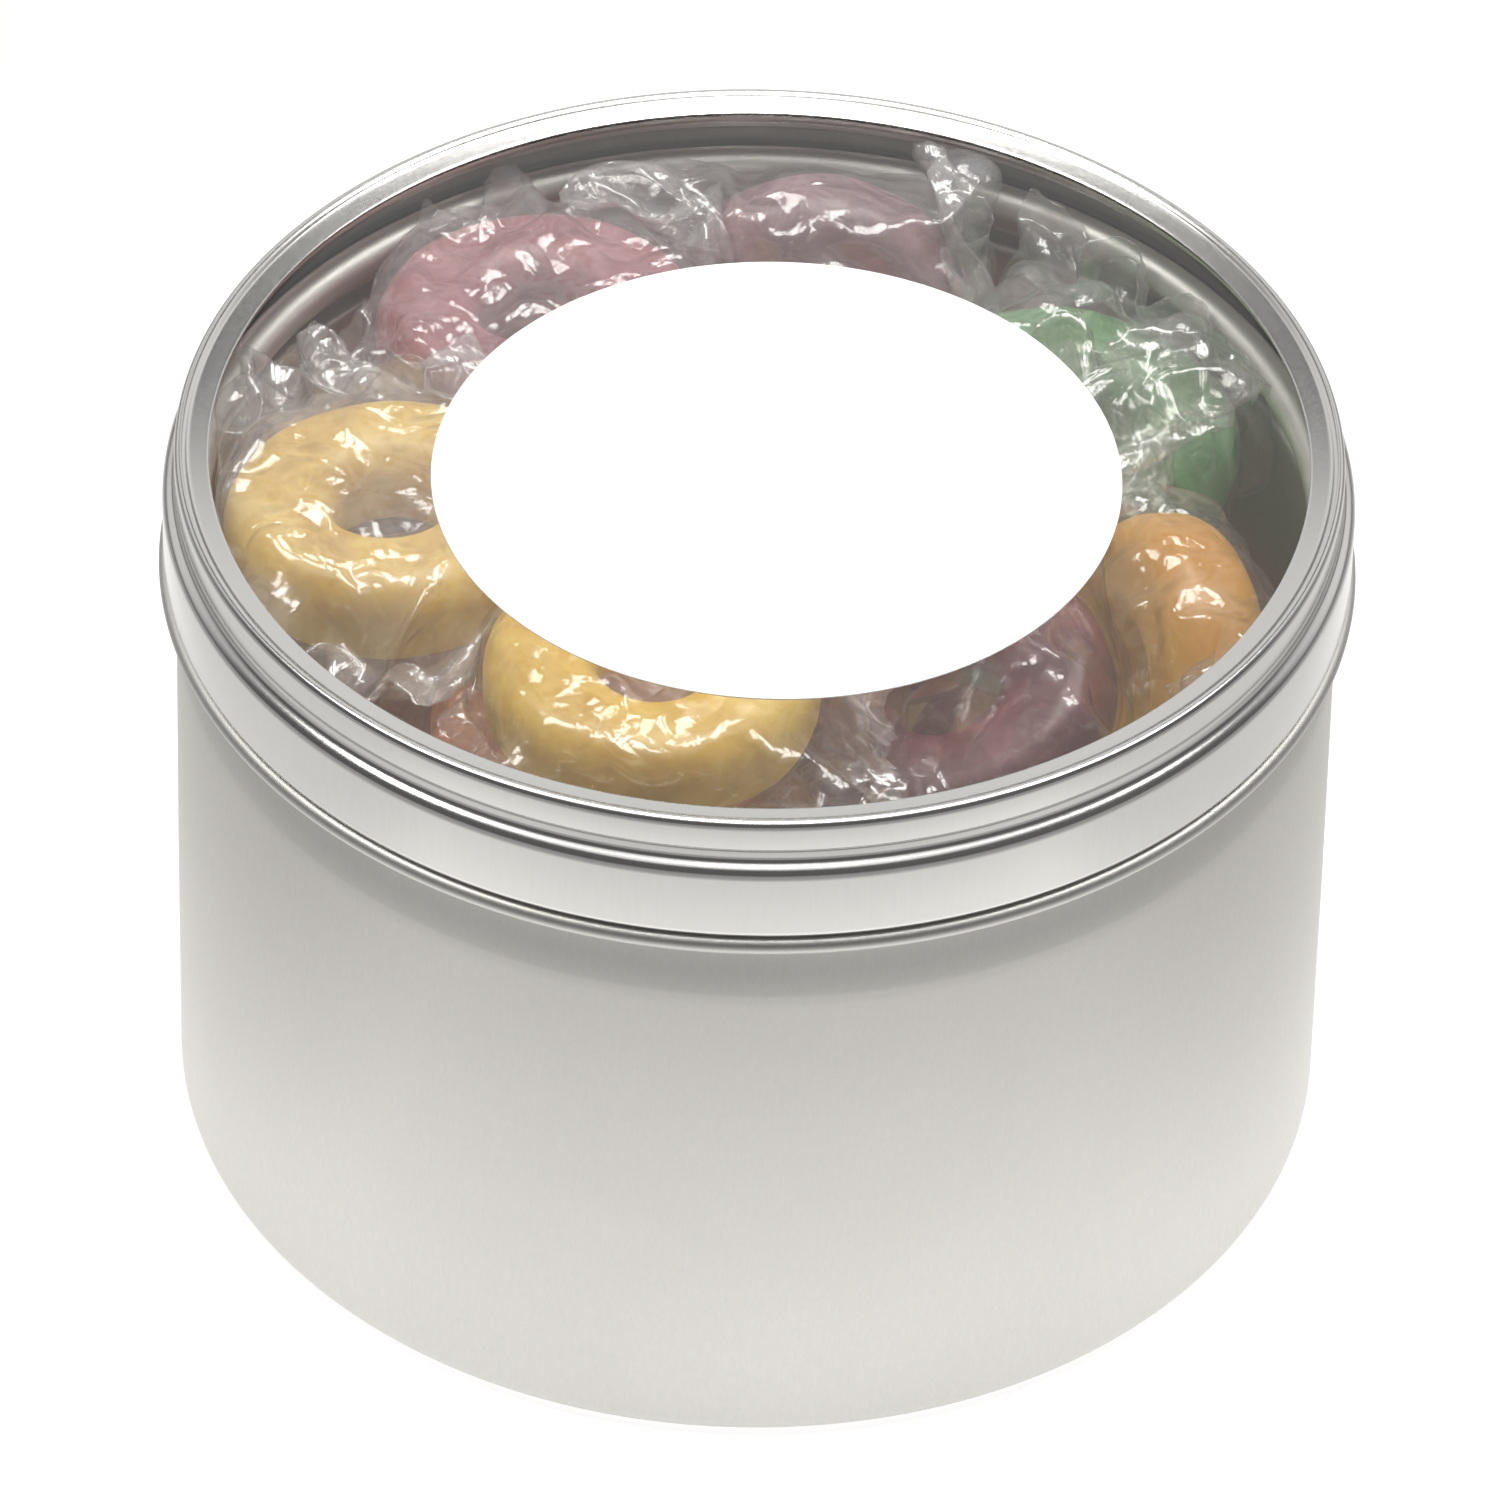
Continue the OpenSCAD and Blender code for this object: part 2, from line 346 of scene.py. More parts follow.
# the same film where it is drawn tight over a candy: clearer
mat_film_tight = clear_material("wrapper_film_tight", (0.985, 0.98, 0.972), 0.15, 2.05, haze=0.03, haze_color=(0.94, 0.90, 0.90), bump=(0.13, 0.7, 0.0034))
TIGHT = ("yellow_front", "yellow_right", "purple_front")


def candy_material(name, light, dark, pale, axis=None, cloud_scale=0.16):
    """Cloudy boiled sugar: light and dark veils, pale swirls, a glossy skin, light that travels inside and a faint
    painted glow.
    """
    m, t = material(name)
    v = t.coords()
    veil = t.noise(v, cloud_scale, 5.0, 0.6, 1.1)
    swirl = t.noise(t.coords((1000, 1000, 1000), loc=(13, 7, 3)), cloud_scale * 1.9, 4.0, 0.62, 2.2)
    base = t.ramp(veil, [(0.28, dark), (0.55, light), (0.78, pale)])
    color = t.mixcolor(t.maprange(swirl, 0.52, 0.72, 0.0, 0.4), base, pale)
    if axis:
        direction, lo, hi, far = axis
        tc = t.t.nodes.new("ShaderNodeTexCoord")
        dot = t.t.nodes.new("ShaderNodeVectorMath")
        dot.operation = "DOT_PRODUCT"
        t.t.links.new(tc.outputs["Object"], dot.inputs[0])
        dot.inputs[1].default_value = direction
        wob = t.math("ADD", dot.outputs["Value"], t.maprange(veil, 0.3, 0.7, -0.0018, 0.0018))
        color = t.mixcolor(t.maprange(wob, lo, hi, 0.0, 1.0), color, far)
    bump_h = t.math("ADD", t.noise(v, 0.5, 3.0, 0.5), t.math("MULTIPLY", t.noise(v, 3.0, 2.0, 0.5), 0.12))
    p = t.add("BsdfPrincipled")
    t.set(p, "Base Color", color)
    t.set(p, "Roughness", t.maprange(veil, 0.3, 0.7, 0.3, 0.42))
    p.inputs["IOR"].default_value = 1.5
    p.inputs["Subsurface Weight"].default_value = 0.85
    p.inputs["Subsurface Radius"].default_value = (1.0, 0.75, 0.35)
    p.inputs["Subsurface Scale"].default_value = 0.0045
    p.inputs["Coat Weight"].default_value = 0.12
    p.inputs["Coat Roughness"].default_value = 0.08
    # painted glow: the sugar emits its own colour faintly, standing in for light that the clear sugar passes on from
    # its neighbours
    t.set(p, "Emission Color", color)
    p.inputs["Emission Strength"].default_value = 0.2
    t.set(p, "Normal", t.bump(bump_h, 0.25, 0.0003))
    t.out(p)
    return m


CANDY_COLOURS = {
    "yellow": ((0.58, 0.38, 0.05), (0.44, 0.26, 0.025), (0.68, 0.52, 0.16)),
    "orange": ((0.60, 0.22, 0.08), (0.42, 0.12, 0.04), (0.74, 0.42, 0.24)),
    "amber": ((0.50, 0.29, 0.09), (0.34, 0.17, 0.045), (0.64, 0.46, 0.22)),
    "purple": ((0.10, 0.014, 0.022), (0.055, 0.006, 0.011), (0.19, 0.05, 0.065)),
    "mauve": ((0.21, 0.10, 0.12), (0.13, 0.055, 0.07), (0.32, 0.20, 0.22)),
    "red": ((0.29, 0.085, 0.105), (0.18, 0.048, 0.066), (0.40, 0.21, 0.24)),
    "green": ((0.10, 0.25, 0.09), (0.05, 0.15, 0.05), (0.24, 0.40, 0.22)),
}
mat_candy = {c: candy_material("candy_" + c + "_sugar", *v) for c, v in CANDY_COLOURS.items()}

# one yellow piece turns amber towards its outer side
mat_right = candy_material(
    "candy_yellow_amber_sugar", *CANDY_COLOURS["yellow"], axis=((0.8, 0.25, 0.35), 0.028, 0.040, (0.46, 0.22, 0.008))
)

# ------------------------------------------------------------------ the can
can_out = (
    [(0, PANEL_Z), (PANEL_R, PANEL_Z), (PANEL_R + 0.7, 0), (BASE_R - FILLET, 0)]
    + arc(BASE_R - FILLET, FILLET, FILLET, -72, 0, 10)
    + [((BASE_R + WALL_R) / 2 + 0.05, 20), (WALL_R, COVE_Z), (WALL_R - 0.04, 40.9), (WALL_R - 0.15, 41.8), (WALL_R - 0.3, 42.7)]
    + [(WALL_R - 0.45, 43.6), (WALL_R - 0.55, 44.3), (WALL_R - 0.58, 44.8), (WALL_R - 0.5, 45.15), (WALL_R - 0.25, 45.35)]
    + arc(LID_R - 0.28, BEAD_Z, 0.62, -110, 75, 20)
    + [(NECK_R, 46.82)]
)
can_in = (
    [(NECK_R - SHEET, 46.6)]
    + arc(LID_R - 0.28, BEAD_Z, 0.32, 75, -110, 12)
    + [(WALL_R - 0.3, 45.66), (WALL_R - 0.64, 45.5), (WALL_R - 0.84, 45.1), (WALL_R - 0.88, 44.7), (WALL_R - 0.85, 44.2)]
    + [(WALL_R - 0.75, 43.5), (WALL_R - 0.6, 42.6), (WALL_R - 0.45, 41.7), (WALL_R - 0.34, 40.85), (WALL_R - SHEET, COVE_Z)]
    + [((BASE_R + WALL_R) / 2 + 0.05 - SHEET, 20), (BASE_R - SHEET, FILLET), (BASE_R - SHEET - 0.3, 0.62), (BASE_R - FILLET, SHEET)]
    + [(PANEL_R + 0.9, SHEET), (PANEL_R + 0.2, PANEL_Z + SHEET), (0, PANEL_Z + SHEET)]
)
rim_out = arc(ROLL_C[0], ROLL_C[1], ROLL_R, 20, 300, 40)
rim_in = arc(ROLL_C[0], ROLL_C[1], ROLL_R - SHEET, 300, 20, 40)
can = lathe("tin_can", can_out + [(NECK_R, ROLL_C[1] + 0.2)] + rim_out + rim_in + [(NECK_R - SHEET, ROLL_C[1])] + can_in, closed=False, n=384)
can.data.materials.append(mat_can)
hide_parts("can_body")
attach(can, "tin")

# ------------------------------------------------------------------ the lid
lid_out = [
    (38.2, 55.57), (38.24, 55.63), (38.36, 55.67), (38.6, 55.71), (39.5, 55.87), (39.7, 55.94), (39.84, 56.07),
    (40.03, 56.18), (40.27, 56.19), (40.43, 56.12), (40.54, 55.98), (40.6, 55.82), (40.62, 55.65),
    (40.62, 54.0), (40.58, 53.9), (40.62, 53.8), (40.62, 53.3), (40.66, 53.12), (40.76, 52.98),
    (40.9, 52.88), (41.08, 52.78), (41.24, 52.66), (41.38, 52.48), (41.46, 52.28), (41.5, 52.0),
    (41.5, 47.35), (41.47, 47.15), (41.41, 47.0), (41.36, 46.95),
]
lid_in = [
    (41.1, 46.97), (41.16, 47.15), (41.2, 47.4), (41.2, 51.95), (41.16, 52.17), (41.08, 52.35), (40.96, 52.48),
    (40.78, 52.57), (40.6, 52.68), (40.45, 52.81), (40.36, 52.99), (40.32, 53.2),
    (40.32, 55.4), (40.25, 55.5), (38.26, 55.5), (38.2, 55.54),
]
lid = lathe("tin_lid", lid_out + lid_in, closed=True, n=384, reach=0.1)
lid.data.materials.append(mat_lid)
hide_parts("lid_shell")
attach(lid, "lid")

retainer = lathe(
    "lid_retainer",
    [(38.45, 55.18), (38.45, 54.92), (39.75, 54.92), (39.92, 54.75), (39.92, 53.15), (40.02, 53.05), (40.2, 53.05), (40.2, 55.18)],
    closed=True, n=384, reach=0.08,
)
retainer.data.materials.append(mat_can)
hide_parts("window_retainer")
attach(retainer, "lid")

label = lathe(
    "lid_label", [(0, 55.5), (LABEL_R, 55.5), (LABEL_R, 55.58), (LABEL_R - 0.04, 55.62), (0, 55.62)], closed=False, n=256, soften=False, centre=LABEL_AT
)
label.data.materials.append(mat_label)
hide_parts("label_disc")
# thin paper: it doesn't darken what lies under it
label.visible_shadow = False
label.visible_diffuse = False
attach(label, "lid")

pane = nodes["window_pane"]
pane.data.materials.clear()
pane.data.materials.append(mat_pane)

# ------------------------------------------------------------------ the candies
PLACES = {
    "yellow_front": (-7, -19, 50.2, 4, 0, 0),
    "yellow_right": (28.3, -8.2, 42.3, 0, -77, 19),
    "purple_front": (13.6, -13, 43.8, 14, -16, 0),
    "orange_front": (-10.8, -14, 40.8, 0, 0, 0),
    "yellow_left": (-25.5, -3, 50, 0, -2, 0),
    "amber_left": (-26.7, 8.6, 40.8, 0, 0, 0),
    "orange_middle": (-2.6, 10.2, 40.9, 0, 0, 0),
    "red_left": (-16, 19.5, 49.6, -2, -2, 0),
    "mauve_back": (4, 29.2, 43, 76, 0, -4),
    "green_right": (22.6, 15.4, 45, 0, 10, 0),
    "green_low": (21, 15.5, 32.2, 0, 0, 0),
    "red_low": (-25.3, 7.7, 32.2, 0, 0, 0),
    "yellow_low": (-19.4, -18.1, 32.2, 0, 0, 0),
    "amber_low": (6, -25.8, 32.2, 0, 0, 0),
    "orange_low": (-1, 0, 32.2, 0, 0, 0),
}


def candy_section(n=9):
    h, o = CANDY_T / 2 - CANDY_EDGE, CANDY_EDGE
    return (
        arc(CANDY_R - o, h, o, 0, 90, n)[:-1]
        + [(CANDY_R - o, CANDY_T / 2)]
        + arc(HOLE_R + o, h, o, 90, 180, n)
        + arc(HOLE_R + o, -h, o, 180, 270, n)
        + arc(CANDY_R - o, -h, o, 270, 360, n)
    )


def smooth_noise(points, scale, seed, octaves=2):
    """Deterministic smooth noise, -1..1, from sums of sines with fixed directions."""
    rng = np.random.RandomState(seed)
    total = np.zeros(len(points))
    amp = 1.0
    for o in range(octaves):
        for k in range(7):
            d = rng.normal(size=3)
            d /= np.linalg.norm(d)
            total += amp * np.sin(points @ d * scale * (1 + 0.6 * rng.rand()) + rng.rand() * 6.283) / 3.2
        amp *= 0.5
        scale *= 2.1
    return total


def candy(name, place, mat, seed):
    obj = lathe("candy_" + name, candy_section(), closed=True, n=112, soften=False)
    me = obj.data
    co = np.array([v.co[:] for v in me.vertices])
    mm = co / MM
    rho = np.hypot(mm[:, 0], mm[:, 1])
    # a little out of round, with soft dents, kept inside the candy's own space
    lump = smooth_noise(mm, 0.33, seed) * 0.10 - 0.12
    d = np.stack([mm[:, 0] / np.maximum(rho, 1e-6), mm[:, 1] / np.maximum(rho, 1e-6), np.zeros(len(mm))], 1)
    side = np.sign(rho - (CANDY_R + HOLE_R) / 2)
    mm[:, :2] += (d[:, :2].T * side * lump * 0.8).T
    mm[:, 2] += np.sign(mm[:, 2]) * lump * np.clip(np.abs(mm[:, 2]) / 2.0, 0, 1)
    m = np.array(rotation(*place[3:]))
    mm = mm @ m.T + np.array(place[:3])
    me.vertices.foreach_set("co", (mm * MM).ravel())
    me.update()
    obj.data.materials.append(mat)
    return obj


for i, (name, place) in enumerate(PLACES.items()):
    colour = name.split("_")[0]
    mat = mat_right if name == "yellow_right" else mat_candy[colour]
    obj = candy(name, place, mat, 11 + i)
    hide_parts("candy_" + name)
    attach(obj, "tin")

for n, colour in ((1, "yellow"), (2, "red"), (3, "orange")):
    layer = nodes[f"candies_layer_{n}"]
    layer.data.materials.clear()
    layer.data.materials.append(mat_candy[colour])

# ------------------------------------------------------------------ the wrappers
def rot3(rx, ry, rz):
    rx, ry, rz = (math.radians(a) for a in (rx, ry, rz))
    X = np.array([[1, 0, 0], [0, math.cos(rx), -math.sin(rx)], [0, math.sin(rx), math.cos(rx)]])
    Y = np.array([[math.cos(ry), 0, math.sin(ry)], [0, 1, 0], [-math.sin(ry), 0, math.cos(ry)]])
    Z = np.array([[math.cos(rz), -math.sin(rz), 0], [math.sin(rz), math.cos(rz), 0], [0, 0, 1]])
    return Z @ Y @ X


def sines(points, scale, rng, octaves=1):
    total = np.zeros(len(points))
    amp = 1.0
    for _ in range(octaves):
        for k in range(8):
            d = rng.normal(size=3)
            d /= np.linalg.norm(d)
            total += amp * np.sin(points @ d * scale * (0.7 + 0.6 * rng.rand()) + rng.rand() * 6.283) / 2.8
        amp *= 0.5
        scale *= 2.0
    return total


def pouch_start(place, yaw, half_w, ends, nu, nv, rng, slack=1.0, tall=4.5, wide=12.5):
    """One film tube round a candy, flattening to two end lines. Gives its points and its rest lengths, in mm."""
    M = rot3(*place[3:])
    c = np.array(place[:3], float)
    a = math.radians(yaw)
    xl, yl, zl = M @ [math.cos(a), math.sin(a), 0], M @ [-math.sin(a), math.cos(a), 0], M @ [0, 0, 1.0]
    s0 = 10.4
    # the loop's own parameter: flat across, so that nodes are evenly spread on a flat tube
    j = np.arange(nu) / nu
    tri = 1 - 4 * np.abs(((j + 0.0) % 1.0) - 0.5)      # -1 at j=0, 1 at j=.5
    tri = -tri
    side = np.where(j < 0.5, 1.0, -1.0)
    puff = np.sqrt(np.clip(1 - np.abs(tri) ** 2.4, 0, 1)) * side
    rows, lengths = [], []
    for sgn, end in ((-1, ends[0]), (1, ends[1])):
        E = [np.array(e, float) for e in end]
        base = c + yl * s0 * sgn
        cp, cm = base + xl * wide * 0.86, base - xl * wide * 0.86
        if np.dot(E[0] - E[1], cp - cm) < 0:
            E = E[::-1]
        rows.append((sgn, E, cp, cm))
        lengths.append(max(2.0, np.linalg.norm((E[0] + E[1]) / 2 - base)))
    body = 2 * s0 + 4.0
    tA, tB = lengths[0] * slack, lengths[1] * slack
    total = tA + body + tB
    s = np.linspace(0, total, nv)
    X = np.zeros((nv, nu, 3))
    for i, si in enumerate(s):
        if si < tA or si > tA + body:
            sgn, E, cp, cm = rows[0] if si < tA else rows[1]
            t = (tA - si) / tA if si < tA else (si - tA - body) / tB
            w = t * t * (3 - 2 * t) * 0.5 + t * 0.5
            p, q = cp * (1 - w) + E[0] * w, cm * (1 - w) + E[1] * w
            centre, half = (p + q) / 2, (p - q) / 2
            tang = (E[0] + E[1]) / 2 - (cp + cm) / 2
            tang /= np.linalg.norm(tang)
            tang = (tang * w + yl * sgn * (1 - w)) * sgn
            nrm = np.cross(half, tang)
            nrm /= max(np.linalg.norm(nrm), 1e-6)
            if np.dot(nrm, zl) < 0 and t < 0.5:
                nrm = -nrm
            nrm = nrm * min(1, t * 3) + zl * (1 - min(1, t * 3))
            b = 2.9 * max(0, 1 - t * 1.7) ** 1.3 + 0.12
        else:
            u = (si - tA) / body * 2 - 1
            centre = c + yl * u * s0
            half = xl * wide * (1 - 0.14 * abs(u) ** 2)
            nrm = zl
            b = tall - (tall - 3.0) * abs(u) ** 3
        X[i] = centre + tri[:, None] * half + puff[:, None] * nrm * b
    flat = X.reshape(-1, 3)
    # seeds of the folds
    N = np.cross(np.gradient(X, axis=1), np.gradient(X, axis=0))
    N /= np.maximum(np.linalg.norm(N, axis=2, keepdims=True), 1e-9)
    f = sines(flat, 0.9, rng, 2).reshape(nv, nu)
    X = X + N * f[..., None] * 0.22 + rng.normal(size=X.shape) * 0.03
    return X, 2 * half_w / nu, total / (nv - 1), total, tA, tB, (rows[0][1], rows[1][1])


RIM = np.array([[0, 40.25], [40, 40.3], [42, 40.05], [43.6, 39.8], [44.9, 39.7], [45.5, 40.0], [46.4, 40.55], [47.4, 40.4], [48.2, 39.2], [49.0, 38.25], [50.0, 38.0], [51.0, 38.25], [51.5, 39.2], [51.9, 39.7], [54.7, 39.5], [56, 39.0]])


def walls(P, top=55.04):
    """Keeps points inside the can, inside its rolled rim and under the window."""
    P[..., 2] = np.minimum(P[..., 2], top)
    r = np.hypot(P[..., 0], P[..., 1])
    lim = np.interp(P[..., 2], RIM[:, 0], RIM[:, 1]) - 0.1
    f = np.minimum(1.0, lim / np.maximum(r, 1e-6))
    P[..., 0] *= f
    P[..., 1] *= f


def push_out(P, M, c, gap, solid):
    """Pushes points out of one candy. With solid, its hole is filled, so that its own film stays across it."""
    L = (P - c) @ M
    near = np.nonzero((np.abs(L[:, 2]) < CANDY_T / 2 + 1) & (L[:, 0] ** 2 + L[:, 1] ** 2 < (CANDY_R + 1) ** 2))[0]
    if not len(near):
        return
    Q = L[near]
    rho = np.maximum(np.hypot(Q[:, 0], Q[:, 1]), 1e-6)
    if solid:
        qx = rho - (CANDY_R - CANDY_EDGE)
        sx = np.ones_like(rho)
    else:
        rm, hw = (CANDY_R + HOLE_R) / 2, (CANDY_R - HOLE_R) / 2
        qx = np.abs(rho - rm) - (hw - CANDY_EDGE)
        sx = np.sign(rho - rm)
    qz = np.abs(Q[:, 2]) - (CANDY_T / 2 - CANDY_EDGE)
    ax, az = np.maximum(qx, 0), np.maximum(qz, 0)
    out = np.hypot(ax, az)
    d = out + np.minimum(np.maximum(qx, qz), 0) - CANDY_EDGE
    inside = out < 1e-6
    gx = np.where(inside, (qx > qz) * 1.0, ax / np.maximum(out, 1e-6)) * sx
    gz = np.where(inside, (qx <= qz) * 1.0, az / np.maximum(out, 1e-6)) * np.where(Q[:, 2] >= 0, 1.0, -1.0)
    m = np.clip(gap - d, 0, 1.2)
    Q[:, 0] += Q[:, 0] / rho * gx * m
    Q[:, 1] += Q[:, 1] / rho * gx * m
    Q[:, 2] += gz * m
    P[near] = Q @ M.T + c


def pair(A, B, rest, k, only=None):
    """Brings the distance between matching points of A and B to rest."""
    d = B - A
    l = np.sqrt((d * d).sum(-1, keepdims=True)) + 1e-9
    e = (l - rest) / l * (0.5 * k)
    if only == "short":
        e = np.minimum(e, 0)
    A += d * e
    B -= d * e


def relax(X, du, dv, specs, candies, iters, own_gap=0.16, other_gap=0.4, seed=3):
    """Settles the films: they keep their area, so where they have no room they crumple."""
    K, nv, nu, _ = X.shape
    du = du[:, None, None, None]
    dv = dv[:, None, None, None]
    dd = np.sqrt(du ** 2 + dv ** 2)
    mats = [(rot3(*p[3:]), np.array(p[:3], float)) for _, p in candies]
    names = [n for n, _ in candies]
    half = nu // 2
    for it in range(iters):
        late = it / iters
        # along the tube
        pair(X[:, 0:-1:2], X[:, 1::2][:, : X[:, 0:-1:2].shape[1]], dv, 0.9)
        pair(X[:, 1:-1:2], X[:, 2::2], dv, 0.9)
        # round the tube
        pair(X[:, :, 0::2], X[:, :, 1::2], du, 0.9)
        A, B = X[:, :, 1::2].copy(), np.roll(X[:, :, 0::2], -1, axis=2)
        pair(A, B, du, 0.9)
        X[:, :, 1::2] = A
        X[:, :, 0::2] = np.roll(B, 1, axis=2)
        # diagonals keep the cells square
        for s in (0, 1):
            for q in (1, -1):
                A, B = X[:, s:-1:2].copy(), np.roll(X[:, s + 1 :: 2][:, : X[:, s:-1:2].shape[1]], q, axis=2)
                pair(A, B, dd, 0.35)
                X[:, s:-1:2] = A
                X[:, s + 1 :: 2][:, : A.shape[1]] = np.roll(B, -q, axis=2)
        # a little stiffness
        if it % 2 == 0:
            k = 0.10
            pair(X[:, 0:-2], X[:, 2:], dv * 2, k * 0.5, "short")
            A = X
            B = np.roll(X, -2, axis=2)
            d = B - A
            l = np.sqrt((d * d).sum(-1, keepdims=True)) + 1e-9
            e = np.minimum((l - du * 2) / l, 0) * 0.5 * k * 0.5
            X += d * e - np.roll(d * e, 2, axis=2)
            # and broad folds rather than fine ones
            for step in (5, 9):
                B = np.roll(X, -step, axis=2)
                d = B - X
                l = np.sqrt((d * d).sum(-1, keepdims=True)) + 1e-9
                e = np.minimum((l - du * step * (0.82 if step == 5 else 0.6)) / l, 0) * 0.06
                X += d * e - np.roll(d * e, step, axis=2)
                d = X[:, step:] - X[:, :-step]
                l = np.sqrt((d * d).sum(-1, keepdims=True)) + 1e-9
                e = np.minimum((l - dv * step * (0.85 if step == 5 else 0.7)) / l, 0) * 0.06
                X[:, :-step] += d * e
                X[:, step:] -= d * e
        # flat crimped ends: the two layers lie together
        for rows in (slice(0, 5), slice(nv - 5, nv)):
            P = X[:, rows]
            mirror = P[:, :, (half * 2 - np.arange(nu)) % nu]
            X[:, rows] = P * 0.75 + mirror * 0.25 if it % 2 == 0 else P
        for k, sp in enumerate(specs):
            if late < 0.75:
                for row, E in ((0, sp["E"][0]), (nv - 1, sp["E"][1])):
                    mid = (E[0] + E[1]) / 2
                    X[k, row] += (mid - X[k, row].mean(0)) * (0.25 * (1 - late))
        if it % 2 == 0 or it > iters - 6:
            for k, sp in enumerate(specs):
                P = X[k].reshape(-1, 3)
                lo, hi = P.min(0) - 1, P.max(0) + 1
                for n, (M, c) in zip(names, mats):
                    own = n == sp["name"]
                    if not own and ((c + 12 < lo).any() or (c - 12 > hi).any()):
                        continue
                    push_out(P, M, c, own_gap if own else other_gap, own)
                walls(P)
                X[k] = P.reshape(nv, nu, 3)
    return X


def finer(X):
    """Doubles the grid with a smooth interpolation. The second direction goes round."""
    a = X
    U = np.zeros((X.shape[0], X.shape[1] * 2, 3))
    U[:, 0::2] = a
    U[:, 1::2] = (9 * (a + np.roll(a, -1, 1)) - np.roll(a, 1, 1) - np.roll(a, -2, 1)) / 16
    n = U.shape[0]
    V = np.zeros((n * 2 - 1, U.shape[1], 3))
    V[0::2] = U
    P = np.concatenate([2 * U[:1] - U[1:2], U, 2 * U[-1:] - U[-2:-1]])
    V[1::2] = (9 * (P[1:-2] + P[2:-1]) - P[:-3] - P[3:]) / 16
    return V


def film_mesh(name, X, crimp_mm, dv, du, seed):
    """A closed pouch from its grid of points: ribbed flat crimps at both ends, cut in a zigzag."""
    X = finer(X)
    nv, nu, _ = X.shape
    dv, du = dv / 2, du / 2
    rows = max(3, int(round(crimp_mm / dv)))
    j = np.arange(nu)
    mirror = (nu - j) % nu
    side = np.where(j < nu / 2, 1.0, -1.0)
    side[0] = side[nu // 2] = 0
    across = np.where(j <= nu / 2, j, nu - j) * du
    ribs = np.sin(across * 2 * math.pi / 1.25)
    teeth = np.abs((across / 1.9) % 1.0 - 0.5) * 2 - 0.5
    for end in (0, 1):
        G = X[::-1] if end else X
        for i in range(rows):
            t = i / rows
            k = 1.0 if t < 0.75 else (1 - t) / 0.25
            mid = (G[i] + G[i][mirror]) / 2
            G[i] = mid * k + G[i] * (1 - k)
        mid = G[: rows + 2].copy()
        n = np.cross(np.roll(mid, -1, 1) - np.roll(mid, 1, 1), np.gradient(mid, axis=0))
        n = n * np.where(j < nu / 2, 1.0, -1.0)[None, :, None]
        n = (n + np.roll(n, 2, 1) + np.roll(n, -2, 1))
        n /= np.maximum(np.linalg.norm(n, axis=2, keepdims=True), 1e-9)
        for i in range(rows):
            t = i / rows
            k = 1.0 if t < 0.8 else (1 - t) / 0.2
            G[i] += n[i] * (side[:, None] * 0.035 + ribs[:, None] * 0.06) * k
        tang = G[0] - G[2]
        tang /= np.maximum(np.linalg.norm(tang, axis=1, keepdims=True), 1e-9)
        G[0] += tang * (0.35 * teeth[:, None] + 0.1)
        G[1] += tang * (0.18 * teeth[:, None] + 0.05)
    P = X.reshape(-1, 3)
    walls(P, 55.12)
    faces = []
    for i in range(nv - 1):
        a, b = i * nu, (i + 1) * nu
        faces += [(a + k, a + (k + 1) % nu, b + (k + 1) % nu, b + k) for k in range(nu)]
    for base, flip in ((0, True), ((nv - 1) * nu, False)):
        for k in range(nu // 2):
            q = [base + k, base + k + 1, base + (nu - k - 1), base + (nu - k) % nu]
            q = [v for n_, v in enumerate(q) if v not in q[:n_]]
            faces.append(q[::-1] if flip else q)
    return P * MM, faces


WRAPS = [
    dict(name="yellow_front", yaw=90, w=34, tall=4.6, ends=(((9, -14, 50), (10, -31, 47.5)), ((-19.5, -12, 47.5), (-19.5, -28, 47)))),
    dict(name="yellow_left", yaw=8, w=39, tall=5.0, ends=(((-33, -17, 48), (-21, -21, 47.5)), ((-36, 13, 52), (-25, 14, 53)))),
    dict(name="amber_left", yaw=10, w=39, tall=7.0, ends=(((-36, -4.5, 44.5), (-22, -5, 44.5)), ((-36, 14, 49), (-27, 27, 48)))),
    dict(name="red_left", yaw=-12, w=39, tall=5.4, ends=(((-27, 9, 53.5), (-16, 4, 53.8)), ((-22, 32, 52), (-8, 35.5, 52)))),
    dict(name="mauve_back", yaw=-90, w=40, tall=7.5, ends=(((-9.5, 29.5, 53.5), (-3, 22.5, 53.8)), ((13, 35, 53), (13.5, 23, 53.5)))),
    dict(name="green_right", yaw=-30, w=41, tall=8.5, ends=(((9, 12, 50), (20, 2, 51)), ((22, 30, 52), (33, 19, 52)))),
    dict(name="yellow_right", yaw=0, w=37, tall=5.8, ends=(((27.5, -24.5, 51), (29.5, -24, 42)), ((15.7, 20, 53.8), (32.6, 11.5, 53.5)))),
    dict(name="purple_front", yaw=0, w=41, tall=8.5, ends=(((5, -33.5, 50), (20, -30, 50.5)), ((8, 0, 49), (22, 0, 50)))),
    dict(name="orange_front", yaw=90, w=36, tall=6.5, ends=(((3, -20, 44), (3, -8, 44)), ((-24, -22, 44), (-24, -8, 44)))),
    dict(name="orange_middle", yaw=90, w=37, tall=7.5, ends=(((10, 16, 45), (10, 4, 45)), ((-16, 16, 44), (-16, 4, 44)))),
]
NU, NV = 96, 80
rng = np.random.RandomState(7)
grids, dus, dvs = [], [], []
for sp in WRAPS:
    g, du_, dv_, total, tA, tB, E = pouch_start(PLACES[sp["name"]], sp["yaw"], sp["w"], sp["ends"], NU, NV, rng, slack=1.25, tall=sp["tall"])
    sp["E"] = E
    grids.append(g)
    dus.append(du_)
    dvs.append(dv_)
grids = relax(np.array(grids), np.array(dus), np.array(dvs), WRAPS, list(PLACES.items()), 200)
solids = [(n, rot3(*p[3:]), np.array(p[:3], float)) for n, p in PLACES.items()]
